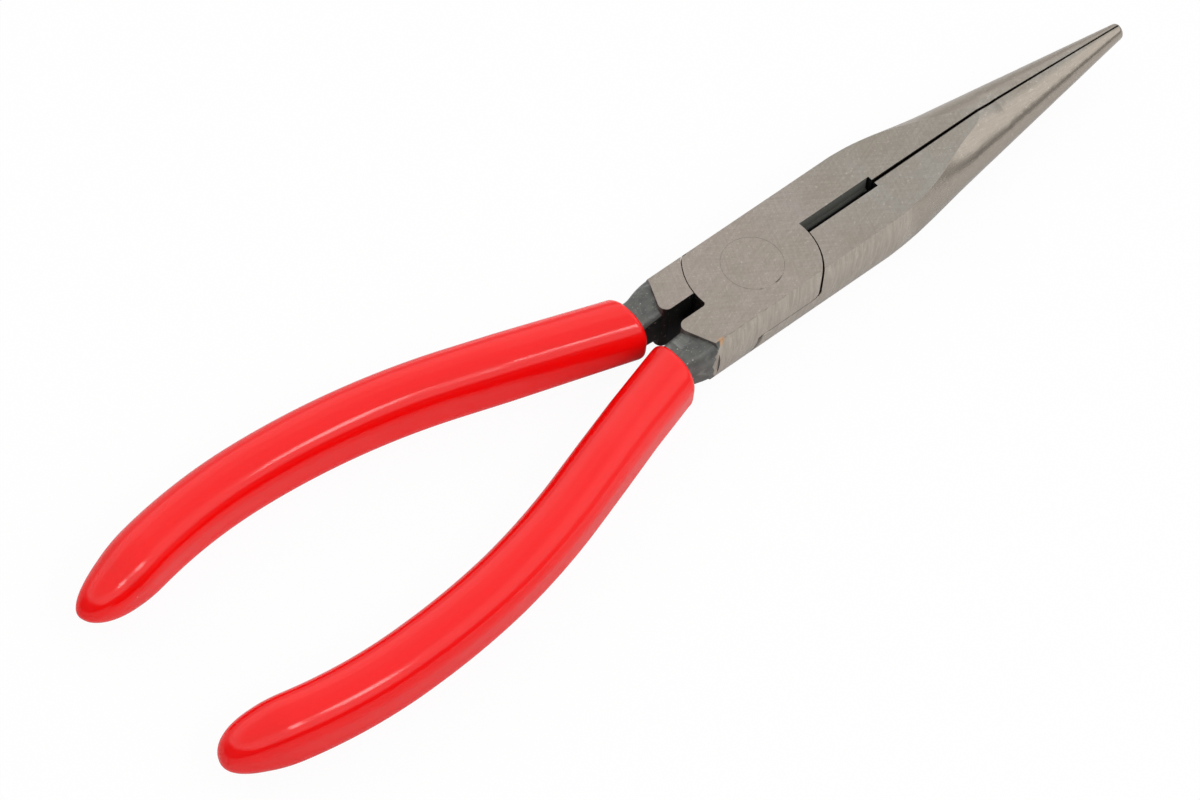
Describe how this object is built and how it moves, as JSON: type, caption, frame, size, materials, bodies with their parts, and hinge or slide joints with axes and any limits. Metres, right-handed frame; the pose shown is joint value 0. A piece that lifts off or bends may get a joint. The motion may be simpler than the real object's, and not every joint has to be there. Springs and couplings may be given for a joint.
{
  "type": "long-nose pliers",
  "caption": "Long-nose pliers with half-round tapered jaws, side cutter, lap joint on a flush rivet, and red dipped handles.",
  "frame": {"origin": "on the pivot axis, in the ground underside of the joint", "axes": "+X from the pivot to the jaw tips, +Y towards the left handle, +Z along the pivot axis, out of the upper face"},
  "size_m": [0.1996, 0.0498, 0.0113],
  "materials": {
    "tool_steel": "ground and polished head, black oxide neck",
    "rivet_steel": "ground flush",
    "red_vinyl": "glossy dipped vinyl"
  },
  "bodies": {
    "left_handle": {"left_lever": "tool_steel", "left_grip": "red_vinyl"},
    "right_handle": {"right_lever": "tool_steel", "joint_rivet": "rivet_steel", "right_grip": "red_vinyl"}
  },
  "joints": [
    {"name": "pivot", "type": "hinge", "parent": "left_handle", "child": "right_handle", "pos_m": [0, 0, 0.00475], "axis": [0, 0, 1], "range_deg": [0, 45]}
  ]
}
